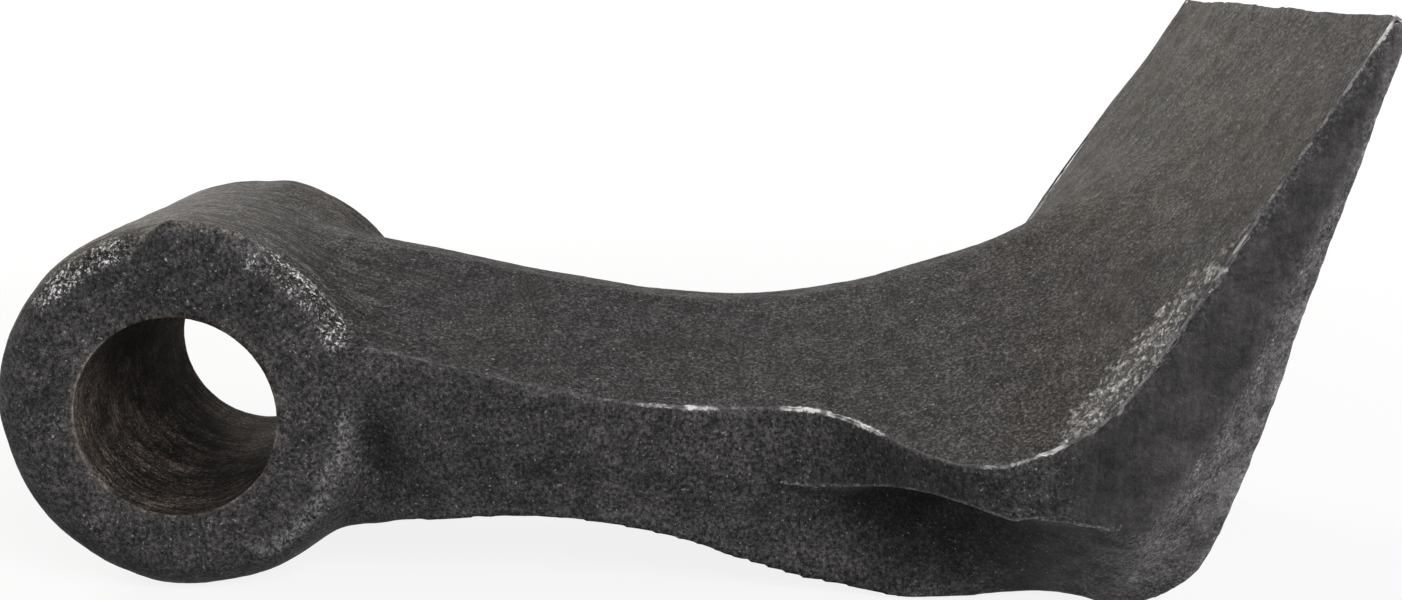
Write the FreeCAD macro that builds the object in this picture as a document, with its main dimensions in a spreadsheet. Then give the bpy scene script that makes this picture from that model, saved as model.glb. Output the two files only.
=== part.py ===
import FreeCAD, Part
import Sketcher
import os

# Mulcher hammer blade: one forging with a drilled eye, a shank with a roof-shaped top,
# wings that flare out of the shank, and a wide wedge of a blade that rises from a heel.
# Frame: origin on the bore axis at mid width, +X along the shank towards the blade,
# +Y along the bore, +Z up. The hammer rests on its eye and on its heel.
# Lengths are in millimetres and angles in degrees. Heights are measured up from the lowest
# line of the eye, places from the bore axis, setbacks back from the cutting edge, and half widths from the
# middle plane. A share is a part of the way from the neck to the throat.

SIZES = [
    ("bore_diameter", 20.5, "hole for the hanging bolt"),
    ("eye_diameter", 37.8, "outside of the eye"),
    ("eye_width", 42, "width of the eye along the bore"),
    ("eye_rise", 0.5, "centre of the eye's outside above the bore axis"),
    ("eye_rounding", 4, "rounding of the eye's two rims"),
    ("ridge_width", 4, "flat along the crest of the shank's roof"),
    ("roof_angle", 21.3, "fall of the roof from the crest to the flash line"),
    ("side_draft", 0.2, "how far a side leans in between the flash line and its foot"),
    ("web_step", 2, "height of the step from a side's foot in to the web below it"),
    ("root_place", 5, "where the bar starts, inside the eye"),
    ("root_crest", 35.9, "crest of the roof where the bar starts"),
    ("root_half_width", 18.6, "flash line where the bar starts"),
    ("root_under_height", 5.6, "underside where the bar starts"),
    ("collar_place", 12.5, "beside the bore, still inside the eye"),
    ("collar_crest", 34.5, "crest of the roof at the collar"),
    ("collar_half_width", 20.2, "flash line at the collar"),
    ("collar_under_height", 6.2, "underside at the collar"),
    ("neck_place", 20, "where the shank leaves the eye"),
    ("neck_crest", 33, "crest at the neck"),
    ("neck_half_width", 21, "flash line at the neck"),
    ("neck_side_foot", 17, "foot of the sides at the neck"),
    ("neck_under_half", 18.8, "underside at the neck"),
    ("neck_under_height", 6.8, "underside at the neck"),
    ("shank_share", 0.39, "middle of the shank"),
    ("shank_crest", 29.2, "crest at the middle of the shank"),
    ("shank_half_width", 21.8, "flash line at the middle of the shank"),
    ("shank_side_foot", 14.4, "foot of the sides at the middle of the shank"),
    ("shank_under_half", 20.3, "underside from here on"),
    ("shank_under_height", 8, "underside at the middle of the shank"),
    ("waist_share", 0.78, "lowest part of the top"),
    ("waist_crest", 27.1, "crest at the waist"),
    ("waist_half_width", 21.4, "flash line at the waist"),
    ("waist_under_height", 4.2, "underside at the waist"),
    ("throat_setback", 48, "where the wings start to flare"),
    ("throat_crest", 27.9, "crest at the throat"),
    ("throat_half_width", 23.8, "flash line at the throat"),
    ("throat_under_height", 0.9, "underside at the throat"),
    ("web_draft", 0.6, "how much wider the web is at its top than at the underside"),
    ("flare_setback", 41, "middle of the flare"),
    ("flare_crest", 29.4, "crest at the flare"),
    ("flare_inset", 5.9, "flash line in from the blade's side at the flare"),
    ("flare_side_foot", 13.8, "foot of the sides at the flare"),
    ("flare_web_spread", 0.8, "web at the flare, out past the shank's"),
    ("flare_under_height", -0.15, "underside at the flare"),
    ("wing_setback", 34, "where the wings reach their width"),
    ("wing_crest", 31.5, "crest at the wings"),
    ("wing_inset", 0.3, "flash line in from the blade's side at the wings"),
    ("wing_side_foot", 13, "foot of the sides at the wings"),
    ("wing_web_spread", 4.8, "web at the wings, out past the shank's"),
    ("wing_under_height", -0.1, "underside at the wings"),
    ("wing_side_foot_low", 12, "foot of the sides at the waist and under the blade"),
    ("bend_setback", 26, "where the top turns up into the cutting face"),
    ("bend_crest", 34.8, "crest at the bend"),
    ("bend_web_inset", 4, "web in from the blade's side at the bend"),
    ("bend_under_height", 0.4, "hollow of the underside at the bend"),
    ("sole_half", 22.2, "half width of the underside below the wings"),
    ("sole_depth", 0.5, "sole of the heel below the lowest line of the eye"),
    ("sole_allowance", 1, "metal left under the heel before the sole is cut"),
    ("ramp_setback", 19, "where the cutting face has started at its sides"),
    ("ramp_crest", 38, "crest on the ramp"),
    ("ramp_side_foot", 13, "foot of the sides on the ramp"),
    ("ramp_web_inset", 1.4, "web in from the blade's side on the ramp"),
    ("heel_setback", 15, "over the heel"),
    ("heel_crest", 40.6, "crest over the heel"),
    ("heel_side_foot", 19.5, "foot of the sides over the heel"),
    ("heel_web_inset", 1, "web in from the blade's side from the heel on"),
    ("heel_under_half", 24, "half width of the sole at the heel"),
    ("face_setback", 11, "where the ridge has sunk into the cutting face"),
    ("face_crest", 43.3, "crest at the face"),
    ("face_side_foot", 28, "foot of the sides at the face"),
    ("face_under_half", 27, "underside at the face"),
    ("face_flat", 12, "width of the flat where the ridge runs out in the cutting face"),
    ("edge_setback", 3, "last section in front of the cutting edge"),
    ("edge_overrun", 4, "metal past the cutting edge before the back is cut"),
    ("edge_side_foot", 46, "foot of the sides at the cutting edge"),
    ("trim_allowance", 0.5, "metal outside each side of the blade before it is trimmed"),
    ("blade_width", 75, "width over the blade's trimmed sides"),
    ("blade_reach", 114.2, "bore axis to the cutting edge"),
    ("blade_height", 59, "sole to the cutting edge"),
    ("face_angle", 57.8, "cutting face from the level"),
    ("back_angle", 75.3, "back of the blade from the level"),
    ("edge_land", 1.9, "blunt land along the cutting edge"),
    ("heel_radius", 8.5, "round between the back and the sole"),
    ("back_rounding", 5.2, "how far in the rounding of the blade's back edges reaches"),
    ("back_rounding_radius", 6, "radius of that rounding"),
    ("back_rounding_at_edge", 1.6, "how far in it still reaches at the cutting edge"),
    ("back_rounding_taper", 4.2, "angle at which it leaves the back towards the cutting edge"),
]

ORIGIN = (-1, 1)
EYE_BOTTOM = "sizes.eye_rise - sizes.eye_diameter / 2"
CLEAR_OF_METAL = 15

doc = FreeCAD.newDocument("mulcher_hammer_blade")
sheet = doc.addObject("Spreadsheet::Sheet", "sizes")
body = doc.addObject("PartDesign::Body", "hammer_blade")


def write_sizes():
    for row, (name, value, meaning) in enumerate(SIZES, start=1):
        sheet.set("A%d" % row, name.replace("_", " "))
        sheet.set("B%d" % row, str(value))
        sheet.setAlias("B%d" % row, name)
        sheet.set("C%d" % row, meaning)
    doc.recompute()


def number(expression):
    return float(sheet.evalExpression(expression))


def origin_plane(role):
    for feature in body.Origin.OriginFeatures:
        if feature.Role == role:
            return feature
    raise RuntimeError("the body has no origin plane " + role)


def new_sketch(name, role, height="0", place="0"):
    """A sketch on one of the body's origin planes, moved up by a height and out by a place."""
    sketch = body.newObject("Sketcher::SketchObject", name)
    sketch.AttachmentSupport = [(origin_plane(role), "")]
    sketch.MapMode = "FlatFace"
    sketch.setExpression("AttachmentOffset.Base.y", height)
    sketch.setExpression("AttachmentOffset.Base.z", place)
    return sketch


def bind(sketch, kind, elements, expression):
    """Adds a constraint whose value follows an expression."""
    value = sheet.evalExpression(expression) if kind == "Angle" else number(expression)
    index = sketch.addConstraint(Sketcher.Constraint(kind, *elements, value))
    sketch.setExpression("Constraints[%d]" % index, expression)


def finish(feature):
    """Recomputes and stops on a feature that has failed."""
    doc.recompute()
    if "Invalid" in feature.State or "Error" in feature.State:
        raise RuntimeError("%s failed: %s" % (feature.Name, feature.getStatusString()))
    if feature.Shape.isNull() or not feature.Shape.isValid():
        raise RuntimeError(feature.Name + " has no valid shape")


def straight_lines(sketch, points):
    """Lines through the points and back to the first, joined end to end."""
    first = sketch.GeometryCount
    count = len(points)
    for index in range(count):
        start = FreeCAD.Vector(*points[index], 0)
        end = FreeCAD.Vector(*points[(index + 1) % count], 0)
        sketch.addGeometry(Part.LineSegment(start, end), False)
    for index in range(count):
        following = first + (index + 1) % count
        sketch.addConstraint(Sketcher.Constraint("Coincident", first + index, 2, following, 1))
    return first


def cross_section(name, place, corners):
    """A symmetrical outline across the bar from its right-hand corners, top to bottom.

    Each corner is a half width and a height.
    """
    sketch = new_sketch(name, "YZ_Plane", EYE_BOTTOM, place)
    right = [(number(half), number(height)) for half, height in corners]
    left = [(-half, height) for half, height in reversed(right)]
    straight_lines(sketch, right + left)
    last = 2 * len(corners) - 1
    for index, (half, height) in enumerate(corners):
        bind(sketch, "DistanceX", (*ORIGIN, index, 1), half)
        bind(sketch, "DistanceY", (*ORIGIN, index, 1), height)
        mirrored = Sketcher.Constraint("Symmetric", index, 1, last - index, 1, -2)
        sketch.addConstraint(mirrored)
    return sketch


def along_the_shank(share):
    """A place on the shank, a share of the way from the neck to the throat."""
    throat = "(sizes.blade_reach - sizes.throat_setback - sizes.neck_place)"
    return "sizes.neck_place + sizes.%s * %s" % (share, throat)


def back_from_the_edge(name):
    return "sizes.blade_reach - sizes.%s_setback" % name


def roofed_section(name, place, half_width, side_foot, web_half, under_half, under_height):
    """A section with the roof on top: the flash line lies where the roof's fall puts it."""
    crest = "sizes.%s_crest" % name
    ridge_half = "sizes.ridge_width / 2"
    flash_height = "%s - (%s - %s) * tan(sizes.roof_angle)" % (crest, half_width, ridge_half)
    corners = [
        (ridge_half, crest),
        (half_width, flash_height),
        (half_width + " - sizes.side_draft", side_foot),
        (web_half, side_foot + " - sizes.web_step"),
        (under_half, under_height),
    ]
    return cross_section(name + "_section", place, corners)


def face_height(place):
    """Height of the flat cutting face at a place."""
    return "sizes.blade_height - (sizes.blade_reach - (%s)) * tan(sizes.face_angle)" % place


def faced_section(name, place, crest, side_foot, web_half, under_half):
    """A section through the blade: its flash line lies on the flat cutting face."""
    forged_half = "sizes.blade_width / 2 + sizes.trim_allowance"
    corners = [
        ("sizes.face_flat / 2", crest),
        (forged_half, face_height(place)),
        (forged_half + " - sizes.side_draft", side_foot),
        (web_half, side_foot + " - sizes.web_step"),
        (under_half, "-sizes.sole_depth - sizes.sole_allowance"),
    ]
    return cross_section(name + "_section", place, corners)


def shank_sections():
    web_half = "sizes.shank_under_half + sizes.web_draft"
    return [
        roofed_section(
            "root",
            "sizes.root_place",
            "sizes.root_half_width",
            "sizes.neck_side_foot",
            "sizes.root_half_width - sizes.web_draft",
            "sizes.root_half_width - 2 * sizes.web_draft",
            "sizes.root_under_height",
        ),
        roofed_section(
            "collar",
            "sizes.collar_place",
            "sizes.collar_half_width",
            "sizes.neck_side_foot",
            "sizes.collar_half_width - sizes.web_draft",
            "sizes.neck_under_half - sizes.web_draft",
            "sizes.collar_under_height",
        ),
        roofed_section(
            "neck",
            "sizes.neck_place",
            "sizes.neck_half_width",
            "sizes.neck_side_foot",
            "sizes.neck_half_width - sizes.web_draft",
            "sizes.neck_under_half",
            "sizes.neck_under_height",
        ),
        roofed_section(
            "shank",
            along_the_shank("shank_share"),
            "sizes.shank_half_width",
            "sizes.shank_side_foot",
            web_half,
            "sizes.shank_under_half",
            "sizes.shank_under_height",
        ),
        roofed_section(
            "waist",
            along_the_shank("waist_share"),
            "sizes.waist_half_width",
            "sizes.wing_side_foot_low",
            web_half,
            "sizes.shank_under_half",
            "sizes.waist_under_height",
        ),
        roofed_section(
            "throat",
            back_from_the_edge("throat"),
            "sizes.throat_half_width",
            "sizes.wing_side_foot_low",
            web_half,
            "sizes.shank_under_half",
            "sizes.throat_under_height",
        ),
    ]


def wing_sections():
    blade_half = "sizes.blade_width / 2"
    web_half = "sizes.shank_under_half + sizes.web_draft"
    return [
        roofed_section(
            "flare",
            back_from_the_edge("flare"),
            blade_half + " - sizes.flare_inset",
            "sizes.flare_side_foot",
            web_half + " + sizes.flare_web_spread",
            "sizes.sole_half",
            "sizes.flare_under_height",
        ),
        roofed_section(
            "wing",
            back_from_the_edge("wing"),
            blade_half + " - sizes.wing_inset",
            "sizes.wing_side_foot",
            web_half + " + sizes.wing_web_spread",
            "sizes.sole_half",
            "sizes.wing_under_height",
        ),
        roofed_section(
            "bend",
            back_from_the_edge("bend"),
            blade_half + " + sizes.trim_allowance",
            "sizes.wing_side_foot_low",
            blade_half + " - sizes.bend_web_inset",
            "sizes.sole_half",
            "sizes.bend_under_height",
        ),
    ]


def blade_sections():
    blade_half = "sizes.blade_width / 2"
    web_half = blade_half + " - sizes.heel_web_inset"
    sections = [
        faced_section(
            "ramp",
            back_from_the_edge("ramp"),
            "sizes.ramp_crest",
            "sizes.ramp_side_foot",
            blade_half + " - sizes.ramp_web_inset",
            "sizes.sole_half",
        ),
        faced_section(
            "heel",
            back_from_the_edge("heel"),
            "sizes.heel_crest",
            "sizes.heel_side_foot",
            web_half,
            "sizes.heel_under_half",
        ),
        faced_section(
            "face",
            back_from_the_edge("face"),
            "sizes.face_crest",
            "sizes.face_side_foot",
            web_half,
            "sizes.face_under_half",
        ),
    ]
    overrun = "sizes.blade_reach + sizes.edge_overrun"
    for name, place in (("edge", back_from_the_edge("edge")), ("overrun", overrun)):
        section = faced_section(
            name, place, face_height(place), "sizes.edge_side_foot", web_half, "sizes.face_under_half"
        )
        sections.append(section)
    return sections


def eye_boss():
    """The eye before drilling: a round boss with both rims rounded."""
    outline = new_sketch("eye_outline", "XZ_Plane", "sizes.eye_rise")
    radius = number("sizes.eye_diameter / 2")
    outline.addGeometry(Part.Circle(FreeCAD.Vector(), FreeCAD.Vector(0, 0, 1), radius), False)
    outline.addConstraint(Sketcher.Constraint("Coincident", 0, 3, *ORIGIN))
    bind(outline, "Diameter", (0,), "sizes.eye_diameter")
    boss = body.newObject("PartDesign::Pad", "eye_boss")
    boss.Profile = outline
    boss.SideType = "Symmetric"
    boss.setExpression("Length", "sizes.eye_width")
    finish(boss)
    rims = body.newObject("PartDesign::Fillet", "eye_rims")
    rim_names = ["Edge%d" % (i + 1) for i, e in enumerate(boss.Shape.Edges) if e.isClosed()]
    rims.Base = (boss, rim_names)
    rims.setExpression("Radius", "sizes.eye_rounding")
    finish(rims)


def run_through(name, sections, straight):
    """Adds metal from section to section, straight or in one smooth run."""
    run = body.newObject("PartDesign::AdditiveLoft", name)
    run.Profile = sections[0]
    run.Sections = sections[1:]
    run.Ruled = straight
    finish(run)


def forged_bar():
    """The shank and wings in one smooth run up to the ramp, and the blade's wedge from there."""
    blade = blade_sections()
    smooth = shank_sections() + wing_sections() + blade[:1]
    for section in smooth + blade:
        finish(section)
    run_through("shank_and_wings", smooth, False)
    run_through("blade_wedge", blade, True)


def cut_through(name, outline):
    """Cuts an outline right through the body, to both sides of its plane."""
    finish(outline)
    before = body.Shape.Volume
    cut = body.newObject("PartDesign::Pocket", name)
    cut.Profile = outline
    cut.SideType = "Symmetric"
    cut.setExpression("Length", "2 * (sizes.blade_width + sizes.blade_reach)")
    finish(cut)
    if body.Shape.Volume >= before:
        raise RuntimeError(name + " cuts nothing away")


def back_and_heel():
    """Takes off what lies behind the blade and below the heel."""
    reach = number("sizes.blade_reach")
    height = number("sizes.blade_height")
    radius = number("sizes.heel_radius")
    sole_start = number(back_from_the_edge("bend"))
    sole = -number("sizes.sole_depth")
    edge = FreeCAD.Vector(reach, height, 0)
    down_the_land = FreeCAD.Vector(
        number("sin(sizes.face_angle)"), number("-cos(sizes.face_angle)"), 0
    )
    out_of_the_back = FreeCAD.Vector(
        number("sin(sizes.back_angle)"), number("-cos(sizes.back_angle)"), 0
    )
    land_end = edge + down_the_land * number("sizes.edge_land")
    centre_height = sole + radius
    sideways = land_end.dot(out_of_the_back) - radius - centre_height * out_of_the_back.y
    heel_centre = FreeCAD.Vector(sideways / out_of_the_back.x, centre_height, 0)
    down = FreeCAD.Vector(0, -1, 0)
    heel_points = [
        heel_centre + down * radius,
        heel_centre + (down + out_of_the_back).normalize() * radius,
        heel_centre + out_of_the_back * radius,
    ]
    corners = [
        heel_points[2],
        land_end,
        edge,
        FreeCAD.Vector(reach, height + CLEAR_OF_METAL, 0),
        FreeCAD.Vector(reach + CLEAR_OF_METAL, height + CLEAR_OF_METAL, 0),
        FreeCAD.Vector(reach + CLEAR_OF_METAL, sole - CLEAR_OF_METAL, 0),
        FreeCAD.Vector(sole_start, sole - CLEAR_OF_METAL, 0),
        FreeCAD.Vector(sole_start, sole, 0),
        heel_points[0],
    ]
    outline = new_sketch("back_outline", "XZ_Plane", EYE_BOTTOM)
    for start, end in zip(corners, corners[1:]):
        outline.addGeometry(Part.LineSegment(start, end), False)
    outline.addGeometry(Part.Arc(*heel_points), False)
    back, land, edge_end, top, rear, bottom, front, ground, heel = range(9)
    for line in (back, land, edge_end, top, rear, bottom, front):
        outline.addConstraint(Sketcher.Constraint("Coincident", line, 2, line + 1, 1))
    outline.addConstraint(Sketcher.Constraint("Tangent", ground, 2, heel, 1))
    outline.addConstraint(Sketcher.Constraint("Tangent", heel, 2, back, 1))
    for line in (edge_end, rear, front):
        outline.addConstraint(Sketcher.Constraint("Vertical", line))
    for line in (top, bottom, ground):
        outline.addConstraint(Sketcher.Constraint("Horizontal", line))
    bind(outline, "Radius", (heel,), "sizes.heel_radius")
    bind(outline, "Angle", (back,), "sizes.back_angle * 1 deg")
    bind(outline, "Angle", (land,), "(90 + sizes.face_angle) * 1 deg")
    bind(outline, "Distance", (land,), "sizes.edge_land")
    bind(outline, "DistanceX", (*ORIGIN, land, 2), "sizes.blade_reach")
    bind(outline, "DistanceY", (*ORIGIN, land, 2), "sizes.blade_height")
    bind(outline, "DistanceX", (*ORIGIN, ground, 1), back_from_the_edge("bend"))
    bind(outline, "DistanceY", (ground, 1, *ORIGIN), "sizes.sole_depth")
    for line, kind in ((edge_end, "DistanceY"), (top, "DistanceX"), (front, "DistanceY")):
        outline.addConstraint(Sketcher.Constraint(kind, line, 1, line, 2, CLEAR_OF_METAL))
    cut_through("back_and_heel", outline)


def trimmed_sides():
    """Shears the flash off flat at the blade's full width, on both sides."""
    half = number("sizes.blade_width / 2")
    start = number(back_from_the_edge("throat"))
    end = number("sizes.blade_reach") + CLEAR_OF_METAL
    outline = new_sketch("side_trim", "XY_Plane")
    for side in (1, -1):
        near = side * half
        far = side * (half + CLEAR_OF_METAL)
        first = straight_lines(outline, [(start, near), (end, near), (end, far), (start, far)])
        for level in (first, first + 2):
            outline.addConstraint(Sketcher.Constraint("Horizontal", level))
        for upright in (first + 1, first + 3):
            outline.addConstraint(Sketcher.Constraint("Vertical", upright))
        bind(outline, "DistanceX", (*ORIGIN, first, 1), back_from_the_edge("throat"))
        bind(outline, "DistanceX", (*ORIGIN, first, 2), "sizes.blade_reach + %d" % CLEAR_OF_METAL)
        inner = (*ORIGIN, first, 1) if side > 0 else (first, 1, *ORIGIN)
        outer = (first, 1, first + 2, 1) if side > 0 else (first + 2, 1, first, 1)
        bind(outline, "DistanceY", inner, "sizes.blade_width / 2")
        outline.addConstraint(Sketcher.Constraint("DistanceY", *outer, CLEAR_OF_METAL))
    cut_through("trimmed_sides", outline)


def rounded_back():
    """Rounds the blade's two back edges, less and less towards the cutting edge.

    The cut is drawn across the back edges, from the top of the back, and run along them.
    """
    half = number("sizes.blade_width / 2")
    depth = number("sizes.back_rounding")
    radius = number("sizes.back_rounding_radius")
    past_top = number("sizes.back_rounding - sizes.back_rounding_at_edge")
    outline = new_sketch("back_rounding_outline", "XY_Plane")
    outline.setExpression(
        "AttachmentOffset.Base.x", "sizes.blade_reach + sizes.edge_land * sin(sizes.face_angle)"
    )
    outline.setExpression(
        "AttachmentOffset.Base.z",
        EYE_BOTTOM + " + sizes.blade_height - sizes.edge_land * cos(sizes.face_angle)",
    )
    outline.AttachmentOffset = FreeCAD.Placement(
        outline.AttachmentOffset.Base, FreeCAD.Rotation(FreeCAD.Vector(0, 1, 0), 1)
    )
    outline.setExpression(
        "AttachmentOffset.Rotation.Angle",
        "(90 - sizes.back_angle + sizes.back_rounding_taper) * 1 deg",
    )
    for side in (1, -1):
        on_side = (past_top - depth, side * half)
        on_back = (past_top, side * (half - depth))
        corners = [
            on_back,
            (past_top + CLEAR_OF_METAL, on_back[1]),
            (past_top + CLEAR_OF_METAL, side * (half + CLEAR_OF_METAL)),
            (on_side[0], side * (half + CLEAR_OF_METAL)),
            on_side,
        ]
        first = outline.GeometryCount
        for start, end in zip(corners, corners[1:]):
            line = Part.LineSegment(FreeCAD.Vector(*start, 0), FreeCAD.Vector(*end, 0))
            outline.addGeometry(line, False)
        bulge = radius - (radius**2 - depth**2 / 2) ** 0.5
        middle = (past_top - depth / 2 + bulge / 2**0.5, side * (half - depth / 2 + bulge / 2**0.5))
        arc_points = [FreeCAD.Vector(*point, 0) for point in (on_side, middle, on_back)]
        outline.addGeometry(Part.Arc(*arc_points), False)
        arc = first + 4
        for line in range(first, first + 3):
            outline.addConstraint(Sketcher.Constraint("Coincident", line, 2, line + 1, 1))
        start_of_arc, end_of_arc = (1, 2) if side < 0 else (2, 1)
        outline.addConstraint(Sketcher.Constraint("Coincident", first + 3, 2, arc, start_of_arc))
        outline.addConstraint(Sketcher.Constraint("Coincident", arc, end_of_arc, first, 1))
        for level in (first, first + 2):
            outline.addConstraint(Sketcher.Constraint("Horizontal", level))
        for upright in (first + 1, first + 3):
            outline.addConstraint(Sketcher.Constraint("Vertical", upright))
        bind(outline, "Radius", (arc,), "sizes.back_rounding_radius")
        on_side_point = (first + 3, 2)
        bind(outline, "DistanceX", (*ORIGIN, first, 1), "sizes.back_rounding - sizes.back_rounding_at_edge")
        bind(outline, "DistanceX", (*on_side_point, first, 1), "sizes.back_rounding")
        if side > 0:
            bind(outline, "DistanceY", (*ORIGIN, *on_side_point), "sizes.blade_width / 2")
            bind(outline, "DistanceY", (first, 1, *on_side_point), "sizes.back_rounding")
            width = (*on_side_point, first + 2, 2)
        else:
            bind(outline, "DistanceY", (*on_side_point, *ORIGIN), "sizes.blade_width / 2")
            bind(outline, "DistanceY", (*on_side_point, first, 1), "sizes.back_rounding")
            width = (first + 2, 2, *on_side_point)
        outline.addConstraint(Sketcher.Constraint("DistanceY", *width, CLEAR_OF_METAL))
        outline.addConstraint(Sketcher.Constraint("DistanceX", first, 1, first, 2, CLEAR_OF_METAL))
    doc.recompute()
    cut_through("back_edges", outline)


def drilled_bore():
    outline = new_sketch("bore_outline", "XZ_Plane")
    radius = number("sizes.bore_diameter / 2")
    outline.addGeometry(Part.Circle(FreeCAD.Vector(), FreeCAD.Vector(0, 0, 1), radius), False)
    outline.addConstraint(Sketcher.Constraint("Coincident", 0, 3, *ORIGIN))
    bind(outline, "Diameter", (0,), "sizes.bore_diameter")
    cut_through("bore", outline)


def check_model():
    for item in doc.Objects:
        if "Invalid" in item.State or "Error" in item.State:
            raise RuntimeError("%s failed: %s" % (item.Name, item.State))
    if body.Shape.isNull() or not body.Shape.isValid() or len(body.Shape.Solids) != 1:
        raise RuntimeError("the hammer is not one valid solid")


write_sizes()
body.Label = "hammer_blade"
body.Placement = FreeCAD.Placement()
eye_boss()
forged_bar()
back_and_heel()
trimmed_sides()
rounded_back()
drilled_bore()
check_model()

os.makedirs("parts", exist_ok=True)
body.Shape.exportStep("parts/%s.step" % body.Label)
print("volume", round(body.Shape.Volume), "mm3, box", body.Shape.optimalBoundingBox())
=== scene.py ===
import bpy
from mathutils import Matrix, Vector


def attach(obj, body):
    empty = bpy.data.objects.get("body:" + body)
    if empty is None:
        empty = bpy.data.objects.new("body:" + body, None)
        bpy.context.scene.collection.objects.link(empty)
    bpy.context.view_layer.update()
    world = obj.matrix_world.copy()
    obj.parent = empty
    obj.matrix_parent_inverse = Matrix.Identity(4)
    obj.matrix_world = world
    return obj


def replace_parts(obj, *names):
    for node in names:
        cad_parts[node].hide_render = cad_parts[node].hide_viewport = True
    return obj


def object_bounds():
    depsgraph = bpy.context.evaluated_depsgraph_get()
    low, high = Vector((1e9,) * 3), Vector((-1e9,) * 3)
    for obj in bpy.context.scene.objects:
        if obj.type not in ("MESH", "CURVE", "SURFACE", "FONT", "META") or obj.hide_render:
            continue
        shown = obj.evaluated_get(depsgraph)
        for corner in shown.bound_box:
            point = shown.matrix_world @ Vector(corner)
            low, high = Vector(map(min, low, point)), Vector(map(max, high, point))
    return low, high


bl_info = {
    "name": "Mulcher hammer blade",
    "version": (1, 0, 0),
    "blender": (4, 5, 0),
    "location": "3D View > Sidebar > Hammer",
    "description": "Dresses the forged hammer's solid with its skin, wear and finish, and lights it",
    "category": "Object",
}

import bmesh
import bpy
import numpy as np
from bpy.props import FloatProperty, FloatVectorProperty, IntProperty, PointerProperty
from mathutils import Euler, Vector, kdtree, noise

MM = 0.001
SOLID = "hammer_blade"
PIECE = "forged_hammer"
SIDES = {"left": 1, "right": -1}

# The eye, in millimetres, and where the lip is on its rim, in degrees forward of the eye's top
EYE_RADIUS = 18.9
EYE_HALF = 21.0
EYE_RISE = 0.5
EYE_REACH = 20.0
BORE_RADIUS = 10.25
RIM_ROUND = 4.0
GROOVE_RADIUS = 19.8
BEAD_RADIUS = 16.9
LIP_FROM = 1.0
LIP_TO = 23.0
LIP_FADE = 11.0
SQUARENESS = 6

# Where the eye's outside stands off its round: the side, from and to which angle, the fade, and how far
RIM_PUSHES = (
    ("right", 318, 338, 10, 0.15),
    ("right", 218, 255, 16, -0.35),
    ("right", 150, 188, 12, 0.2),
    ("left", 15, 55, 12, 0.6),
)

# Where the blade's back would meet the edge's height, how far it leans, and the cutting face's slope
BACK_AT_EDGE = 115.6
BACK_LEAN = np.radians(14.7)
FACE_ANGLE = np.radians(57.8)

# The cutting edge: the round of its tips, how far down it is nicked, and how much is worn off it
TIP_ROUND = 1.8
EDGE_DEPTH = 2.5
EDGE_WEAR = 0.25

# How the solid's sharp lines are told: by the parts of their faces' normals, by angle and by place
FACES_UP = 0.3
FACES_ASIDE = 0.35
PARTING_ANGLE = np.radians(34)
SILL_ANGLE = np.radians(15)
SILL_FROM = 58.0
SILL_TO = 97.0
SILL_FLOOR = -9.0
LINE_STEP = 0.15

# The worn band beside the parting line, in millimetres, and the distance that counts as far off
BAND_FROM = 84.5
BAND_TO = 102.5
BAND_WIDTH = 7.0
FAR_OFF = 9.0

# The burr's section: half its foot, how deep the foot lies, and how far the tip starts below the line
BURR_HALF = 0.14
BURR_ROOT = 0.3
BURR_DROP = 0.12

# How much of its grid the remesher fills, and how far the skin and the burrs keep inside the solid's box
SKIN_FILL = 0.88
SKIN_INSET = 0.004
BURR_INSET = 0.002

# Points nearer than this in metres are one, and normals hold for so many rounds of filling
SAME_PLACE = 1e-6
NORMALS_KEPT_FOR = 5

# Rounds and shares of the smaller softenings
BAND_ROUNDS = 14
EDGE_ROUNDS = 2
CREASE_SPREAD = 6
FILL_SHARE = 0.9
EDGE_SHARE = 0.6
HEEL_SHARE = 0.3

# The stage, in metres
FLOOR_REACH = 3.0
LAMP_TARGET = (0.05, 0, 0)
CLIP_START = 0.01
SENSOR_WIDTH_MM = 36
WHITE = (1, 1, 1, 1)
FLOOR_GREY = (0.14, 0.14, 0.14, 1)

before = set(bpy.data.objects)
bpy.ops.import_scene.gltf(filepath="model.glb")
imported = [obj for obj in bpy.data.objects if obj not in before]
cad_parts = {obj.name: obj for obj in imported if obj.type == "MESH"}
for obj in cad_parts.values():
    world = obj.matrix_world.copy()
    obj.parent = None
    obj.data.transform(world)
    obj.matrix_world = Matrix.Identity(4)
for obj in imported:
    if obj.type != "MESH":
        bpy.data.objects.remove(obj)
CAD_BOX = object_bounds()
BOX_LOW, BOX_HIGH = (np.array(corner) / MM for corner in CAD_BOX)


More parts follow.
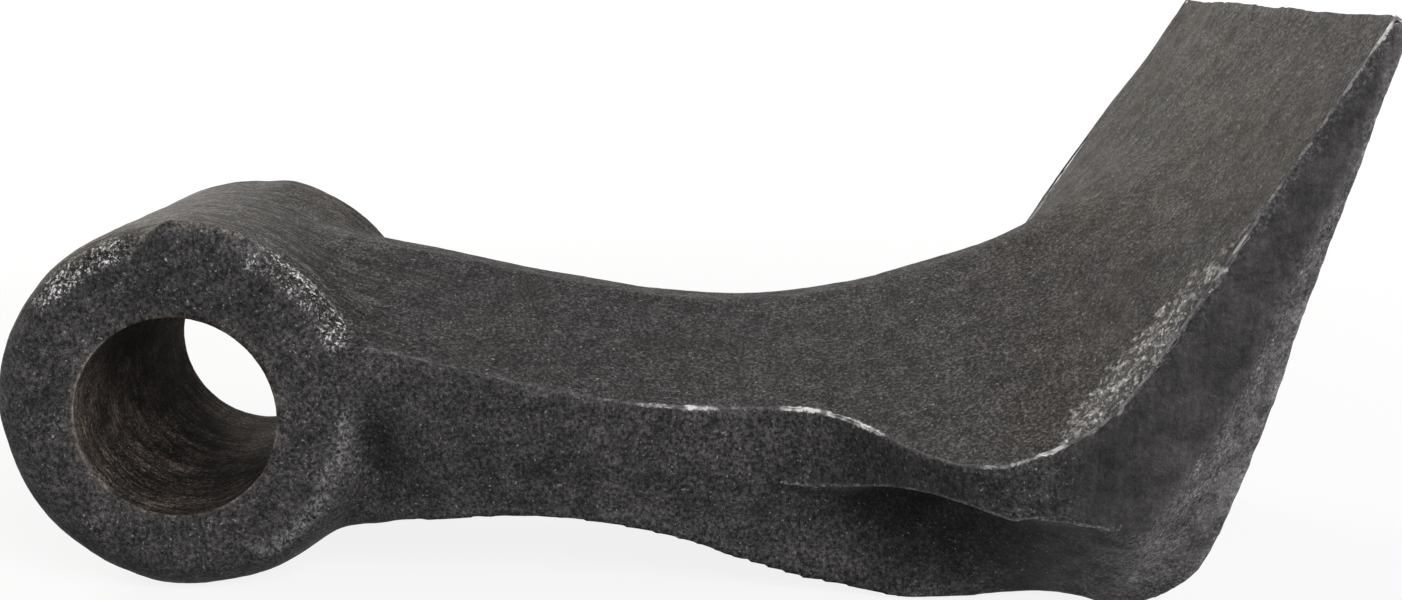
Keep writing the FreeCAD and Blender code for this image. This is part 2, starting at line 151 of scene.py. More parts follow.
class ForgingSettings(bpy.types.PropertyGroup):
    skin_cells: IntProperty(
        name="Skin fineness", description="Power of two of the cells along the longest side", default=8,
    )
    fillet_rounds: IntProperty(
        name="Fillet rounds", description="How often the hollow beside the eye is filled", default=45,
    )
    small_fillet_rounds: IntProperty(
        name="Small fillet rounds", description="How often every other hollow corner is filled", default=6,
    )
    melt_rounds: IntProperty(
        name="Melt rounds", description="How often the ridge's end and the eye's foot are softened",
        default=10,
    )
    crease_rounds: IntProperty(
        name="Crease rounds", description="How often the crease beside the back is softened", default=24,
    )
    undercut: FloatProperty(
        name="Undercut", description="Depth of the step below the wings' foot",
        default=0.3 * MM, unit="LENGTH",
    )
    lip_height: FloatProperty(
        name="Lip", description="How far the lip on top of the eye stands out",
        default=2.7 * MM, unit="LENGTH",
    )
    groove: FloatProperty(
        name="Groove", description="Depth of the hollow beside the eye's rim",
        default=2.2 * MM, unit="LENGTH",
    )
    bead: FloatProperty(
        name="Bead", description="Height of the low rib along that hollow",
        default=0.35 * MM, unit="LENGTH",
    )
    fairing: FloatProperty(
        name="Fairing", description="Metal added where the eye runs into the underside",
        default=1.7 * MM, unit="LENGTH",
    )
    swell: FloatProperty(
        name="Swell", description="Depth of the broad unevenness of the forging",
        default=0.15 * MM, unit="LENGTH",
    )
    dents: FloatProperty(
        name="Dents", description="Depth of the small dents and scale marks",
        default=0.12 * MM, unit="LENGTH",
    )
    grain: FloatProperty(
        name="Grain", description="Depth of the coarse grain",
        default=0.03 * MM, unit="LENGTH",
    )
    burr_height: FloatProperty(
        name="Burr", description="Height of the ragged flash line",
        default=0.3 * MM, unit="LENGTH",
    )
    nicks: FloatProperty(
        name="Nicks", description="Depth of the nicks in the cutting edge",
        default=0.28 * MM, unit="LENGTH",
    )


class FinishSettings(bpy.types.PropertyGroup):
    scale_colour: FloatVectorProperty(
        name="Scale", description="Colour of the forging's skin",
        subtype="COLOR", default=(0.048, 0.0457, 0.0462),
    )
    warm_colour: FloatVectorProperty(
        name="Warm tint", description="Colour of the faint rust",
        subtype="COLOR", default=(0.062, 0.0545, 0.0475),
    )
    bore_colour: FloatVectorProperty(
        name="Bore", description="Colour of the drilled wall",
        subtype="COLOR", default=(0.056, 0.0445, 0.037),
    )
    # also the colour of the painted highlights
    bright_colour: FloatVectorProperty(
        name="Bright metal", description="Colour of the worn edges",
        subtype="COLOR", default=(0.8, 0.79, 0.77),
    )


class StageSettings(bpy.types.PropertyGroup):
    camera_place: FloatVectorProperty(
        name="Camera", description="Where the camera stands",
        subtype="XYZ", unit="LENGTH", default=(0.0529, -0.2067, 0.0461),
    )
    camera_pitch: FloatProperty(
        name="Pitch", description="How far the camera looks down",
        default=np.radians(10.4), unit="ROTATION",
    )
    lens: FloatProperty(name="Lens", description="Focal length", default=48.79, unit="CAMERA")
    key_power: FloatProperty(name="Key", description="Power of the lamp behind", default=4.6, unit="POWER")
    side_power: FloatProperty(
        name="Side", description="Power of the lamp on the right", default=1.3, unit="POWER",
    )
    front_power: FloatProperty(
        name="Front", description="Power of the lamp in front", default=2.9, unit="POWER",
    )
    ambient: FloatProperty(name="Ambient", description="Strength of the light from all round", default=0.2)


# In the steps below, x, y and z are millimetres from the middle of the bore, a lean is degrees forward
# of the eye's top, and the limits beside a normal are its part along an axis.


def smooth_step(low, high, values):
    """0 below low and 1 above high, with a soft way up between."""
    t = np.clip((values - low) / (high - low), 0, 1)
    return t * t * (3 - 2 * t)


def band(values, low, high, soft):
    """1 between low and high, fading to 0 over a soft margin outside."""
    return smooth_step(low - soft, low, values) * (1 - smooth_step(high, high + soft, values))


class Skin:
    """The points of a closed mesh in millimetres, with what is needed to push them about."""

    def __init__(self, mesh):
        count = len(mesh.vertices)
        self.mesh = mesh
        points = np.empty(count * 3)
        mesh.vertices.foreach_get("co", points)
        self.points = points.reshape(-1, 3) / MM
        edges = np.empty(len(mesh.edges) * 2, int)
        mesh.edges.foreach_get("vertices", edges)
        edges = edges.reshape(-1, 2)
        self.here = np.concatenate([edges[:, 0], edges[:, 1]])
        self.there = np.concatenate([edges[:, 1], edges[:, 0]])
        self.neighbours = np.maximum(np.bincount(self.here, minlength=count), 1)

    def spread(self, values):
        """The mean over each point's neighbours."""
        if values.ndim == 1:
            return np.bincount(self.here, values[self.there], len(values)) / self.neighbours
        return np.stack([self.spread(values[:, axis]) for axis in range(values.shape[1])], 1)

    def normals(self):
        self.write()
        normals = np.empty(len(self.points) * 3)
        self.mesh.vertex_normals.foreach_get("vector", normals)
        return normals.reshape(-1, 3)

    def write(self):
        self.mesh.vertices.foreach_set("co", (self.points * MM).ravel())
        self.mesh.update()

    def fill_hollows(self, rounds, share):
        """Fills hollow corners, as the radii of a forging die do."""
        for turn in range(rounds):
            if turn % NORMALS_KEPT_FOR == 0:
                normals = self.normals()
            pull = self.spread(self.points) - self.points
            outward = np.maximum((pull * normals).sum(1), 0)
            self.points += normals * (outward * share)[:, None]

    def soften(self, rounds, share):
        """Evens out hollows and edges alike."""
        for turn in range(rounds):
            pull = self.spread(self.points) - self.points
            self.points += pull * (0.5 * share)[:, None]

    def bend(self, rounds):
        """How sharply the skin bends outwards at each point, spread over a few rounds."""
        normals = self.normals()
        pull = self.spread(self.points) - self.points
        bend = -(pull * normals).sum(1)
        for turn in range(rounds):
            bend = self.spread(bend)
        return bend

    def lumps(self, size, offset):
        """Smooth noise of about -1 to 1 at every point, with lumps of that size."""
        return np.array([noise.noise(Vector(place)) for place in self.points / size + offset])


def meets_at_parting(upper, lower, place):
    """A top face over a side face, away from the eye."""
    off_eye = np.hypot(place.x, place.z) > EYE_REACH
    return upper.z > FACES_UP and abs(lower.y) > FACES_ASIDE and off_eye


def meets_at_sill(upper, lower, place):
    """A side face over an underside, along the foot of the wing and of the blade's side."""
    along_foot = SILL_FROM < place.x < SILL_TO and place.z > SILL_FLOOR
    return lower.z < -FACES_UP and abs(upper.y) > FACES_ASIDE and along_foot


class SharpLine:
    """A sharp line along one side of the solid, read from its mesh, in millimetres."""

    def __init__(self, solid, side, faces_fit, sharp_angle):
        corners = {}
        sheet = bmesh.new()
        sheet.from_mesh(solid.data)
        bmesh.ops.remove_doubles(sheet, verts=sheet.verts, dist=SAME_PLACE)
        for edge in sheet.edges:
            lower, upper = sorted((face.normal for face in edge.link_faces), key=lambda normal: normal.z)
            place = edge.verts[0].co / MM
            sharp = edge.calc_face_angle_signed(0) > sharp_angle
            if sharp and place.y * side > 0 and faces_fit(upper, lower, place):
                for vertex in edge.verts:
                    _, outward = corners.setdefault(vertex.index, (vertex.co / MM, Vector()))
                    outward += upper + lower
        rows = sorted(corners.values(), key=lambda row: row[0].x)
        places = np.array([row[0] for row in rows])
        outward = np.array([row[1].normalized() for row in rows])
        sheet.free()
        along = np.concatenate([[0], np.cumsum(np.linalg.norm(np.diff(places, axis=0), axis=1))])
        self.along = np.arange(0, along[-1], LINE_STEP)
        self.places = np.stack([np.interp(self.along, along, column) for column in places.T], 1)
        self.outward = np.stack([np.interp(self.along, along, column) for column in outward.T], 1)

    def gap(self, points, side):
        """Distance from the line in millimetres: above 0 on the top, below 0 on the side of the hammer."""
        tree = kdtree.KDTree(len(self.places))
        for index, place in enumerate(self.places):
            tree.insert(place, index)
        tree.balance()
        found = [tree.find(point) for point in points]
        nearest = np.array([place for place, index, distance in found])
        distance = np.array([distance for place, index, distance in found])
        offset = nearest - points
        return distance * np.where(offset[:, 1] * side - offset[:, 2] > 0, 1, -1)


def lines_on_solid(faces_fit, sharp_angle):
    """The sharp line of one kind along each side of the solid."""
    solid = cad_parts[SOLID]
    return {side: SharpLine(solid, side, faces_fit, sharp_angle) for side in SIDES.values()}


def line_gaps(skin, lines):
    """Each point's signed distance from the line on its own side."""
    gaps = np.empty(len(skin.points))
    for side, line in lines.items():
        own = skin.points[:, 1] * side >= 0
        gaps[own] = line.gap(skin.points[own], side)
    return gaps


def even_skin(solid, cells):
    """A copy of the solid's mesh with evenly spaced points and its sharp edges kept."""
    rough = bpy.data.objects.new("rough", solid.data.copy())
    bpy.context.collection.objects.link(rough)
    remesh = rough.modifiers.new("skin", "REMESH")
    remesh.mode = "SHARP"
    remesh.octree_depth = cells
    remesh.scale = SKIN_FILL
    bpy.context.view_layer.update()
    graph = bpy.context.evaluated_depsgraph_get()
    mesh = bpy.data.meshes.new_from_object(rough.evaluated_get(graph))
    mesh.name = PIECE
    bpy.data.objects.remove(rough)
    return mesh


def off_middle(points):
    """How far each point is from the eye's middle line."""
    return np.hypot(points[:, 0], points[:, 2] - EYE_RISE)


def lean_of(points):
    """Where each point is round the eye, in degrees forward of its top."""
    return np.degrees(np.arctan2(points[:, 0], points[:, 2] - EYE_RISE))


def push_out(skin, distances):
    """Moves each point away from the eye's middle line, by its own distance in millimetres."""
    scale = 1 + distances / np.maximum(off_middle(skin.points), 1)
    skin.points[:, 0] *= scale
    skin.points[:, 2] = (skin.points[:, 2] - EYE_RISE) * scale + EYE_RISE


def raise_lip(skin, lip):
    """Squares up the right rim of the eye on top and pushes out the lip that the dies left there."""
    y = skin.points[:, 1].copy()
    from_middle = off_middle(skin.points)
    on_top = band(lean_of(skin.points), LIP_FROM, LIP_TO, LIP_FADE) * (y < 0)
    over = np.maximum(np.abs(y) - (EYE_HALF - RIM_ROUND), 0) / RIM_ROUND
    out = np.maximum(from_middle - (EYE_RADIUS - RIM_ROUND), 0) / RIM_ROUND
    on_rim = (over > 0) & (out > 0)
    reach = np.hypot(over, out)
    squared = (over**SQUARENESS + out**SQUARENESS) ** (1 / SQUARENESS)
    stretch = np.where(squared > 0.05, reach / np.maximum(squared, 0.05), 1)
    stretch = 1 + (stretch - 1) * on_top * on_rim
    new_out = out * stretch * RIM_ROUND + EYE_RADIUS - RIM_ROUND
    new_out += lip * on_top * smooth_step(0.3, 1, over) * smooth_step(0.4, 1, out)
    new_over = over * stretch * RIM_ROUND + EYE_HALF - RIM_ROUND
    push_out(skin, np.where(on_rim, new_out - from_middle, 0))
    skin.points[:, 1] = np.where(on_rim, np.sign(y) * new_over, y)


def groove_beside_eye(skin, depth, bead):
    """The hollow that runs down each side around the eye's rim, where the shank begins, and its low rib."""
    y = skin.points[:, 1].copy()
    from_middle = off_middle(skin.points)
    lean = lean_of(skin.points)
    out = from_middle - GROOVE_RADIUS
    across = 1 - smooth_step(0, 1, np.where(out < 0, -out / 2.8, out / 6))
    groove = across * band(lean, 104, 136, 20)
    rib = (1 - smooth_step(0, 1.4, np.abs(from_middle - BEAD_RADIUS))) * band(lean, 96, 146, 12)
    on_side = smooth_step(12, 16, np.abs(y))
    skin.points[:, 1] += np.sign(y) * (rib * bead - depth * groove) * on_side


def fair_underside(skin, depth):
    """Fills the corner where the round of the eye runs into the shank's underside."""
    lean = lean_of(skin.points)
    below = smooth_step(95, 118, lean) * (1 - smooth_step(118, 172, lean))
    below *= 1 - smooth_step(17, 23, skin.points[:, 0])
    push_out(skin, depth * below * smooth_step(13, 17, off_middle(skin.points)))


def push_rim(skin, side, low, high, soft, push):
    """Moves the eye's outside in or out along part of its round, from one lean to another."""
    from_middle = off_middle(skin.points)
    part = band(lean_of(skin.points) % 360, low, high, soft)
    part *= smooth_step(13, 17, from_middle) * (1 - smooth_step(21, 24, from_middle))
    push_out(skin, push * part * smooth_step(2, 14, skin.points[:, 1] * side))


def shape_eye(skin, settings):
    """The lip, the hollow with its rib, the filled corner below, and where the round is a little off."""
    raise_lip(skin, settings.lip_height / MM)
    groove_beside_eye(skin, settings.groove / MM, settings.bead / MM)
    fair_underside(skin, settings.fairing / MM)
    for side, low, high, soft, push in RIM_PUSHES:
        push_rim(skin, SIDES[side], low, high, soft, push)


def level_foot(points):
    """Evens out the foot of the blade's sides, which waves a little in the solid."""
    x, y, z = points.T
    near = smooth_step(29, 33, np.abs(y)) * band(z, -7.5, -4.5, 3)
    points[:, 2] += near * (0.8 * band(x, 84, 86.5, 2.5) - 1.3 * band(x, 91, 93.5, 2.5))


def undercut_foot(skin, gaps, depth):
    """Cuts in just below the foot of each side where the wing starts, which makes a crisp dark line."""
    under = band(gaps, -1.5, -0.35, 0.35) * band(skin.points[:, 0], 60, 66, 3)
    skin.points[:, 1] -= np.sign(skin.points[:, 1]) * depth * under


def far_shift(points):
    """How the far edge of the cutting face stands off the solid's, along the face's normal."""
    x, y, z = points.T
    out = 0.75 * band(x, 86, 97, 14) - 0.45 * smooth_step(105, 110, x)
    out *= smooth_step(12, 34, y)
    return out[:, None] * np.array([-np.sin(FACE_ANGLE), 0, np.cos(FACE_ANGLE)])


def true_up_outline(skin):
    """Small shifts of the blade's far edge, of its back and of the shank's underside, in millimetres."""
    x, y, z = skin.points.T.copy()
    normals = skin.normals()
    skin.points += far_shift(skin.points) * smooth_step(0.0, 0.3, normals[:, 2])[:, None]
    at_back = smooth_step(0.4, 0.8, normals[:, 0]) * smooth_step(96, 100, x)
    skin.points[:, 0] += (0.4 * band(z, -13, 6, 5) - 0.15 * band(z, 14, 24, 5)) * at_back
    underside = 1 - smooth_step(-0.8, -0.4, normals[:, 2])
    skin.points[:, 2] -= underside * (0.3 * band(x, 24, 62, 8) + 0.3 * band(x, 57, 63, 5))


def fill_corners(skin, off_bore, settings):
    """Fills the hollow corners, most beside the eye, and softens the ridge's end and the heel."""
    beside_eye = off_bore * (1 - smooth_step(26, 34, skin.points[:, 0]))
    skin.fill_hollows(settings.fillet_rounds, beside_eye * FILL_SHARE)
    skin.fill_hollows(settings.small_fillet_rounds, off_bore * FILL_SHARE)
    x, y, z = skin.points.T
    top = smooth_step(0.2, 0.4, skin.normals()[:, 2])
    ridge_end = band(x, 86, 106, 6) * top * (1 - smooth_step(8, 20, np.abs(y)))
    heel = band(x, 78, 112, 5) * (1 - smooth_step(-17, -14, z))
    skin.soften(settings.melt_rounds, np.maximum(ridge_end, heel * HEEL_SHARE))


def soften_foot_and_back(skin, gaps, settings):
    """Softens the foot of the eye, the crease beside the blade's back and the back itself."""
    x, y, z = skin.points.T.copy()
    foot_of_eye = band(off_middle(skin.points), 18, 25, 3) * smooth_step(6, 12, x)
    skin.soften(settings.melt_rounds, foot_of_eye * (1 - smooth_step(-9, -5, z)))
    normals = skin.normals()
    sideways = np.abs(normals[:, 1])
    crease = band(sideways, 0.5, 0.98, 0.02) * smooth_step(90, 94, x) * (gaps < -2)
    crease *= smooth_step(-17, -13, z) * (1 - smooth_step(4, 16, z))
    for turn in range(CREASE_SPREAD):
        crease = skin.spread(crease)
    skin.soften(settings.crease_rounds, crease * smooth_step(0.4, 0.6, sideways))
    back = smooth_step(0.25, 0.5, normals[:, 0]) * smooth_step(94, 100, x) * (1 - smooth_step(32, 36, z))
    skin.soften(settings.small_fillet_rounds, back)


def roughen(skin, from_bore, worn_band, settings):
    """Gives the faces swells, dents and grain, coarser in the worn band. The bore's wall has only grain."""
    swell = skin.lumps(17, 3.1) + 0.5 * skin.lumps(7, 8.3)
    dents = np.minimum(skin.lumps(3.2, 1.7) + 0.25, 0) * 1.6
    grain = skin.lumps(1.15, 5.2) * (1 + 2.5 * worn_band)
    depth = (swell - 0.4) * settings.swell + dents * settings.dents
    depth *= smooth_step(10.4, 11.4, from_bore)
    skin.points += skin.normals() * ((depth + grain * settings.grain) / MM)[:, None]


def nick_edge(skin, depth):
    """Nicks the cutting edge and wears it down a little, except at its right corner."""
    top = BOX_HIGH[2]
    edge = smooth_step(top - EDGE_DEPTH, top - 0.5, skin.points[:, 2])
    nicks = np.minimum(skin.lumps(5.3, 6.1) + 0.6 * skin.lumps(1.7, 9.9) + 0.15, 0)
    worn_off = EDGE_WEAR * smooth_step(-35, -24, skin.points[:, 1])
    skin.points[:, 2] += edge * (nicks * depth - worn_off)


def round_tips(skin, radius):
    """Rounds the two corners of the cutting edge."""
    over = np.abs(skin.points[:, 1]) - (BOX_HIGH[1] - radius)
    up = skin.points[:, 2] - (BOX_HIGH[2] - radius)
    reach = np.hypot(over, up)
    outside = (over > 0) & (up > 0) & (reach > radius)
    shrink = np.where(outside, radius / np.maximum(reach, radius), 1) - 1
    skin.points[:, 1] += np.sign(skin.points[:, 1]) * over * shrink
    skin.points[:, 2] += up * shrink


def forge(mesh, lines, sills, settings):
    """Turns the even skin into a forged one: fillets, worn edges, uneven faces and a nicked edge."""
    skin = Skin(mesh)
    from_bore = np.hypot(skin.points[:, 0], skin.points[:, 2])
    off_bore = smooth_step(10.6, 12.5, from_bore)
    fill_corners(skin, off_bore, settings)
    gaps = line_gaps(skin, lines)
    x, y, z = skin.points.T.copy()
    worn_band = band(gaps, -0.2, 1.2, 0.8) * smooth_step(-0.3, 1, worn_depth(x, gaps))
    skin.soften(BAND_ROUNDS, worn_band)
    kept_sharp = band(gaps, -0.3, 0.3, 0.4) * (1 - worn_band)
    skin.soften(EDGE_ROUNDS, off_bore * (1 - kept_sharp) * (1 - smooth_step(36, 38, z)) * EDGE_SHARE)
    shape_eye(skin, settings)
    level_foot(skin.points)
    undercut_foot(skin, line_gaps(skin, sills), settings.undercut / MM)
    true_up_outline(skin)
    soften_foot_and_back(skin, gaps, settings)
    roughen(skin, from_bore, worn_band, settings)
    nick_edge(skin, settings.nicks / MM)
    round_tips(skin, TIP_ROUND)
    skin.points = np.clip(skin.points, BOX_LOW + SKIN_INSET, BOX_HIGH - SKIN_INSET)
    skin.write()
    shift_to_skin(lines)
    for name, values in marks_on(skin, lines, sills).items():
        store(mesh, name, values)
    for polygon in mesh.polygons:
        polygon.use_smooth = True


def shift_to_skin(lines):
    """Moves the parting lines to where the skin has its edges."""
    for line in lines.values():
        line.places += far_shift(line.places)


def worn_depth(x, gaps):
    """How far inside the worn strip along the foot of the cutting face's edges each point lies."""
    middle = (BAND_FROM + BAND_TO) / 2
    fullness = 1 - ((x - middle) / (BAND_TO - BAND_FROM) * 2) ** 2
    return np.maximum(BAND_WIDTH * fullness - gaps, -FAR_OFF)


def flash_shine(x, y):
    """How bright the flash line is: dull, with bare metal along a few stretches and up the cutting face."""
    on_shank = np.maximum(band(x, 47.5, 54, 1.2), band(x, 62, 69.5, 2))
    on_wing = np.maximum(0.55 * band(x, 79.5, 83, 1), 0.9 * band(x, 84.3, 86.2, 0.8))
    up_the_face = smooth_step(97, 101, x) * (0.4 + 0.4 * smooth_step(110.5, 112.5, x))
    up_the_face *= np.where(y < 0, 1, 0.4)
    return np.maximum.reduce([on_shank, on_wing, up_the_face, np.full_like(on_shank, 0.24)])


def paint_back_light(x, z, sideways):
    """Painted light: a paler strip down each blade side beside its back, narrow on top, wide at the heel."""
    below_edge = BOX_HIGH[2] - z
    from_back = BACK_AT_EDGE - below_edge * np.tan(BACK_LEAN) - x
    width = 1.1 + 0.0033 * np.maximum(below_edge - 4, 0) ** 2
    fade = 0.7 - 0.6 * (1 - smooth_step(0, 22, z))
    across = np.clip((from_back / width - fade) / (1.25 - fade), 0, 1)
    strip = (1 - across) * smooth_step(0.06, 0.3, sideways)
    strip *= smooth_step(86, 94, x) * (0.55 + 0.45 * (1 - smooth_step(-8, 14, z)))
    heel = 1.4 * smooth_step(85, 95, x) * (1 - smooth_step(-12, -6, z))
    low_side = 0.15 * smooth_step(94, 98, x) * (1 - smooth_step(0, 7, z))
    return np.maximum(strip, np.maximum(heel, low_side))


def paint_rim_highlights(y, from_middle, lean):
    """Painted highlights: the rims of the eye's faces made bright on both sides of their tops."""
    behind = band(lean, -48, -18, 9) * band(from_middle, 16.4, 17.8, 0.8)
    ahead = band(lean, 30, 64, 8) * band(from_middle, 17.2, 18.9, 0.8)
    return smooth_step(0.4, 1.5, np.abs(y) - (EYE_HALF - RIM_ROUND)) * np.maximum(behind, ahead)


def paint_shade(skin, gaps, sill_gaps, normals):
    """Painted shade: darker steel underneath, below the wing and the sill, over the bore, behind the eye."""
    x, y, z = skin.points.T
    underneath = (1 - smooth_step(-0.55, -0.15, normals[:, 2])) * (1 - smooth_step(86, 96, x))
    eye_face = smooth_step(19.5, 20.6, np.abs(y)) * (1 - smooth_step(17, 19, off_middle(skin.points)))
    eye_top = 0.7 * eye_face * band(lean_of(skin.points), -34, 36, 22)
    behind_eye = 0.5 * smooth_step(0.2, 0.6, normals[:, 2]) * band(x, 20, 34, 8)
    side = smooth_step(0.45, 0.7, np.abs(normals[:, 1])) * (1 - smooth_step(92, 97, x))
    below_wing = side * band(gaps, -8, -1, 1.5) * band(x, 71, 88, 5)
    below_sill = band(sill_gaps, -12, -1.5, 3) * band(x, 74, 86, 7) * smooth_step(8, 20, np.abs(y))
    return np.clip(underneath + (eye_top + behind_eye) + below_wing + below_sill, 0, 1.5)


def marks_on(skin, lines, sills):
    """What the steel's material has to know at each point of the skin, by name."""
    x, y, z = skin.points.T
    normals = skin.normals()
    upward = smooth_step(0.2, 0.6, normals[:, 2])
    sideways = np.abs(normals[:, 1])
    from_bore = np.hypot(x, z)
    from_middle = off_middle(skin.points)
    lean = lean_of(skin.points)
    gaps = line_gaps(skin, lines)
    sill_gaps = line_gaps(skin, sills)
    beads = (1 - smooth_step(0.3, 1.3, np.abs(from_middle - BEAD_RADIUS))) * band(lean, 92, 148, 8)
    return {
        "flash_gap": np.clip(gaps, -FAR_OFF, FAR_OFF),
        "flash_shine": flash_shine(x, y),
        "rim_gap": np.minimum(np.hypot(from_bore - BORE_RADIUS, np.abs(y) - EYE_HALF), FAR_OFF),
        "sill_gap": np.minimum(np.abs(sill_gaps), FAR_OFF),
        "upward": upward,
        # polish of the cutting face, and a painted sheen that grows towards its edge
        "polish_and_sheen": upward * smooth_step(90, 96, x) * smooth_step(4, 38, z),
        "smooth_face": upward * smooth_step(88, 94, x) * (0.3 + 0.7 * smooth_step(12, 26, np.abs(y))),
        "worn_depth": worn_depth(x, gaps),
        # painted highlights on the rims of the eye's faces
        "painted_rim_highlight": paint_rim_highlights(y, from_middle, lean),
        "edge_wear": smooth_step(0.01, 0.06, skin.bend(2)),
        # painted shade: darker in the hollows, where less light reaches
        "hollow": smooth_step(0.002, 0.02, -skin.bend(25)),
        # painted light: paler where the blade's back and heel catch the light
        "painted_back_light": paint_back_light(x, z, sideways),
        "warm": upward * np.maximum(np.maximum(1 - smooth_step(10, 24, x), smooth_step(70, 94, x)), 0.2),
        "wrinkled": upward * (1 - smooth_step(16, 30, x)),
        "crackled": upward * band(x, 14, 28, 8),
        # painted shade: darker underneath, below the wing and the sill, over the bore and behind the eye
        "painted_shade": paint_shade(skin, gaps, sill_gaps, normals),
        # painted highlight: bright flecks along the low rib beside the eye
        "painted_bead_highlight": beads * smooth_step(15, 18, np.abs(y)),
        "drawn_side": smooth_step(84, 90, x) * smooth_step(0.75, 0.9, sideways),
        "bore_wall": 1 - smooth_step(10.6, 11.0, from_bore),
    }


def store(mesh, name, values):
    attribute = mesh.attributes.new(name, "FLOAT", "POINT")
    attribute.data.foreach_set("value", np.asarray(values, np.float32))


def burr_mesh(line, name, height):
    """A thin ragged ridge along a parting line, with a triangle for its section."""
    sheet = bmesh.new()
    shine = flash_shine(line.places[:, 0], line.places[:, 1])
    tangents = np.gradient(line.places, axis=0)
    tangents /= np.linalg.norm(tangents, axis=1)[:, None]
    rings = []
    for along, place, outward, tangent, bare in zip(line.along, line.places, line.outward, tangents, shine):
        across = np.cross(tangent, outward) * BURR_HALF
        jag = noise.noise(Vector((along / 2.3, 4.7, 0))) + 0.8 * noise.noise(Vector((along / 0.7, 9.1, 0)))
        rise = max(0.0, 0.3 + jag) * height * (0.45 + 0.55 * bare)
        rise *= 1 - 0.75 * smooth_step(88, 94, place[0])
        foot = place - outward * BURR_ROOT
        section = np.array([foot + across, place + outward * (rise - BURR_DROP), foot - across])
        section = np.clip(section, BOX_LOW + BURR_INSET, BOX_HIGH - BURR_INSET)
        rings.append([sheet.verts.new(point) for point in section * MM])
    for ring, following in zip(rings, rings[1:]):
        for corner in range(3):
            after = (corner + 1) % 3
            sheet.faces.new((ring[corner], ring[after], following[after], following[corner]))
    sheet.faces.new(rings[0][::-1])
    sheet.faces.new(rings[-1])
    bmesh.ops.recalc_face_normals(sheet, faces=sheet.faces)
    mesh = bpy.data.meshes.new(name)
    sheet.to_mesh(mesh)
    sheet.free()
    store(mesh, "flash_shine", np.repeat(shine, 3))
    for mark, value in (("rim_gap", FAR_OFF), ("sill_gap", FAR_OFF), ("worn_depth", -FAR_OFF)):
        store(mesh, mark, np.full(len(mesh.vertices), value))
    return mesh


class Nodes:
    """Short ways to add and join the nodes of a material or a world."""

    def __init__(self, owner):
        owner.use_nodes = True
        self.owner = owner
        self.tree = owner.node_tree
        self.shader = self.tree.nodes.get("Principled BSDF")

    def add(self, kind, **values):
        node = self.tree.nodes.new(kind)
        for name, value in values.items():
            setattr(node, name, value)
        return node

    def join(self, output, target):
        self.tree.links.new(output, target)

    def fill(self, socket, value):
        """Joins a node's output to a socket, or writes a plain value in it."""
        if isinstance(value, bpy.types.NodeSocket):
            self.join(value, socket)
        else:
            socket.default_value = value

    def noise(self, coordinates, size, detail=2.0, roughness=0.5):
        """Noise with lumps of that size in millimetres."""
        node = self.add("ShaderNodeTexNoise")
        node.inputs["Scale"].default_value = 1 / (size * MM)
        node.inputs["Detail"].default_value = detail
        node.inputs["Roughness"].default_value = roughness
        self.join(coordinates, node.inputs["Vector"])
        return node.outputs["Fac"]

    def ranged(self, value, low, high, out_low=0.0, out_high=1.0):
        """Brings low to high onto another range, and cuts off what lies beyond."""
        node = self.add("ShaderNodeMapRange")
        for name, limit in zip(("From Min", "From Max", "To Min", "To Max"), (low, high, out_low, out_high)):
            node.inputs[name].default_value = limit
        self.join(value, node.inputs["Value"])
        return node.outputs["Result"]

    def math(self, operation, first, second=0.0):
        node = self.add("ShaderNodeMath", operation=operation)
        for socket, value in zip(node.inputs, (first, second)):
            self.fill(socket, value)
        return node.outputs[0]

    def times(self, first, second):
        return self.math("MULTIPLY", first, second)

    def plus(self, first, second):
        return self.math("ADD", first, second)

    def mix(self, factor, first, second, blend="MIX"):
        """A colour between two colours."""
        node = self.add("ShaderNodeMix", data_type="RGBA", blend_type=blend)
        for socket, value in ((node.inputs[0], factor), (node.inputs[6], first), (node.inputs[7], second)):
            whole = isinstance(value, (int, float, bpy.types.NodeSocket))
            self.fill(socket, value if whole else (*value, 1))
        return node.outputs[2]

    def blend(self, factor, first, second):
        """A plain number between two numbers."""
        node = self.add("ShaderNodeMix")
        for socket, value in zip((node.inputs[0], node.inputs[2], node.inputs[3]), (factor, first, second)):
            self.fill(socket, value)
        return node.outputs[0]

    def stretched(self, coordinates, scale):
        node = self.add("ShaderNodeVectorMath", operation="MULTIPLY")
        self.join(coordinates, node.inputs[0])
        node.inputs[1].default_value = scale
        return node.outputs["Vector"]

    def attribute(self, name):
        return self.add("ShaderNodeAttribute", attribute_name=name).outputs["Fac"]


class SteelNoises:
    """The noises that the steel's colour, its bare metal and its relief share."""

    def __init__(self, nodes):
        self.place = nodes.add("ShaderNodeTexCoord").outputs["Object"]
        self.patches = nodes.noise(self.place, 11, 3, 0.55)
        self.blotches = nodes.noise(self.place, 4.5, 4, 0.65)
        self.mottle = nodes.noise(self.place, 2.4, 4, 0.7)
        self.flecks = nodes.noise(self.place, 0.42, 3, 0.7)
        self.grain = nodes.noise(self.place, 0.4, 4, 0.8)
        self.fine_grain = nodes.noise(self.place, 0.36, 4, 0.85)
        self.specks = nodes.noise(self.place, 0.33, 1, 0.5)
        self.drill = bore_marks(nodes, self.place)
        wrinkles = nodes.noise(nodes.stretched(self.place, (0.14, 1, 0.14)), 0.8, 3, 0.65)
        self.wrinkles = nodes.times(nodes.math("SUBTRACT", wrinkles, 0.5), nodes.attribute("wrinkled"))


